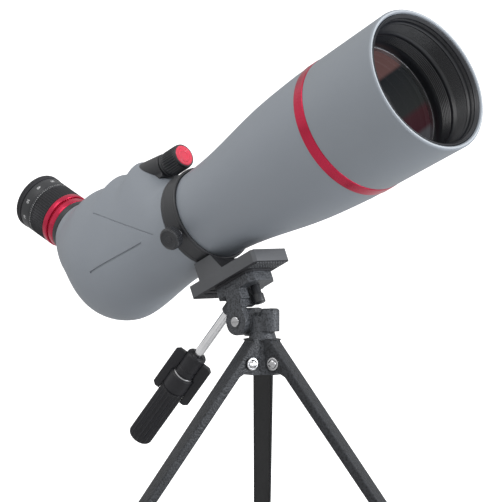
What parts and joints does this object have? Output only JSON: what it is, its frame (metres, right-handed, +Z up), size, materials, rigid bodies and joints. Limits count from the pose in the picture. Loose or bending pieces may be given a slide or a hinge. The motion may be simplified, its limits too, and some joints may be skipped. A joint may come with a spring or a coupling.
{
  "type": "spotting scope",
  "caption": "Angled zoom spotting scope with flared tube, clamp collar and foot, on a folding tabletop tripod with a pan and tilt head and handle.",
  "frame": {"origin": "on the pan axis, at the flat underside of the tripod hub", "axes": "+X the way the scope looks, +Z up, +Y to the scope's left"},
  "size_m": [0.402, 0.2499, 0.3881],
  "materials": {
    "body_coating": "fine satin grey armour paint",
    "rim_paint": "satin grey",
    "red_anodised": "metallic red anodise",
    "black_satin": "satin black",
    "baffle_black": "dark matt sleeve with fine rings",
    "black_rubber": "matt rubber",
    "grip_ring": "ribbed rubber",
    "coated_glass": "polished, amber-red coating",
    "prism_glass": "polished",
    "foot_grey": "moulded satin grey",
    "hammered_grey": "hammered grey enamel",
    "leg_paint": "hammered grey outside, smooth black inside",
    "bright_steel": "plated",
    "chrome_rod": "polished",
    "handle_black": "moulded black plastic",
    "inner_aluminium": "machined"
  },
  "bodies": {
    "tripod_base": {"tripod_hub": "hammered_grey", "pan_stud": "bright_steel", "pan_nut": "bright_steel", "pan_washer": "black_satin", "leg_screws": "bright_steel", "leg_nuts": "bright_steel"},
    "right_leg": {"leg_right": "leg_paint", "leg_tip_right": "black_rubber"},
    "rear_leg": {"leg_rear": "leg_paint", "leg_tip_rear": "black_rubber"},
    "left_leg": {"leg_left": "leg_paint", "leg_tip_left": "black_rubber"},
    "pan_head": {"pan_head": "hammered_grey"},
    "platform": {"tilt_platform": "hammered_grey", "platform_pad": "black_rubber", "tilt_screw": "bright_steel", "tilt_nut": "bright_steel", "mounting_foot": "foot_grey", "foot_screws": "bright_steel", "collar_ring": "black_satin"},
    "camera_screw": {"camera_screw": "black_satin"},
    "pan_handle": {"handle_rod": "chrome_rod", "handle_socket": "handle_black", "handle_ferrule": "inner_aluminium", "handle_grip": "handle_black", "handle_wings": "handle_black"},
    "thumb_screw": {"collar_screw": "bright_steel", "collar_knob": "black_satin"},
    "scope_tube": {"main_tube": "body_coating", "front_barrel": "rim_paint", "red_trim_ring": "red_anodised", "front_baffle": "baffle_black", "lens_cell": "inner_aluminium", "objective_seal": "black_rubber", "lens_retaining_ring": "inner_aluminium", "lens_spacer": "inner_aluminium", "objective_flint_lens": "coated_glass", "objective_crown_lens": "coated_glass", "prism_housing": "body_coating", "erecting_prism": "prism_glass", "prism_mount": "inner_aluminium", "focus_guide_rod": "inner_aluminium", "focus_housing": "black_satin", "eyepiece_barrel": "black_satin", "eyepiece_base_collar": "black_satin", "eyepiece_red_ring": "red_anodised", "eyepiece_band": "black_satin", "eye_lens": "coated_glass", "field_lens": "prism_glass"},
    "focus_wheel": {"focus_knob": "black_satin", "focus_knob_cap": "red_anodised", "focus_shaft": "inner_aluminium"},
    "focus_slider": {"focus_carriage": "inner_aluminium", "focusing_lens": "prism_glass"},
    "zoom_grip": {"zoom_ring": "grip_ring"},
    "zoom_slider": {"zoom_carriage": "inner_aluminium", "zoom_lens": "prism_glass"},
    "eyecup": {"eyecup": "black_rubber"}
  },
  "joints": [
    {"name": "right_leg_fold", "type": "hinge", "parent": "tripod_base", "child": "right_leg", "pos_m": [0.01161, 0.00305, 0.0076], "axis": [-0.2538, 0.9673, 0], "range_deg": [0, 38]},
    {"name": "rear_leg_fold", "type": "hinge", "parent": "tripod_base", "child": "rear_leg", "pos_m": [-0.00844, 0.00853, 0.0076], "axis": [-0.7108, -0.7034, 0], "range_deg": [0, 38]},
    {"name": "left_leg_fold", "type": "hinge", "parent": "tripod_base", "child": "left_leg", "pos_m": [-0.00317, -0.01157, 0.0076], "axis": [0.9646, -0.2639, 0], "range_deg": [0, 38]},
    {"name": "pan_turn", "type": "hinge", "parent": "tripod_base", "child": "pan_head", "pos_m": [0, 0, 0.03], "axis": [0, 0, 1], "continuous": true},
    {"name": "tilt", "type": "hinge", "parent": "pan_head", "child": "platform", "pos_m": [-0.01208, 0, 0.03543], "axis": [0, 1, 0], "range_deg": [-14, 15]},
    {"name": "camera_screw_turn", "type": "hinge", "parent": "platform", "child": "camera_screw", "pos_m": [-0.0037, 0, 0.05123], "axis": [-0.4085, 0, 0.9128], "continuous": true},
    {"name": "handle_turn", "type": "hinge", "parent": "platform", "child": "pan_handle", "pos_m": [-0.03547, 0, 0.038], "axis": [-0.7013, 0, -0.7129], "range_deg": [-180, 180]},
    {"name": "thumb_screw_turn", "type": "hinge", "parent": "platform", "child": "thumb_screw", "pos_m": [-0.04707, -0.03538, 0.09332], "axis": [0.149, -0.9311, -0.333], "range_deg": [-360, 360]},
    {"name": "tube_turn", "type": "hinge", "parent": "platform", "child": "scope_tube", "pos_m": [-0.05, 0, 0.1072], "axis": [0.9128, 0, 0.4085], "range_deg": [-135, 80]},
    {"name": "focus_turn", "type": "hinge", "parent": "scope_tube", "child": "focus_wheel", "pos_m": [-0.08289, 0, 0.14397], "axis": [0.9128, 0, 0.4085], "range_deg": [-360, 360]},
    {"name": "focus_slide", "type": "slide", "parent": "scope_tube", "child": "focus_slider", "axis": [0.9128, 0, 0.4085], "range_m": [-0.00501, 0.00501]},
    {"name": "zoom_turn", "type": "hinge", "parent": "scope_tube", "child": "zoom_grip", "pos_m": [-0.20497, 0, 0.1059], "axis": [-0.9053, 0, 0.4248], "range_deg": [0, 150]},
    {"name": "zoom_slide", "type": "slide", "parent": "scope_tube", "child": "zoom_slider", "axis": [-0.9053, 0, 0.4248], "range_m": [0, 0.00801]},
    {"name": "eyecup_slide", "type": "slide", "parent": "scope_tube", "child": "eyecup", "axis": [-0.9053, 0, 0.4248], "range_m": [0, 0.006]}
  ],
  "couplings": [
    {"joint": "focus_slide", "follows": "focus_turn", "m_per_rad": 0.00079577},
    {"joint": "zoom_slide", "follows": "zoom_turn", "m_per_rad": 0.0030558}
  ]
}
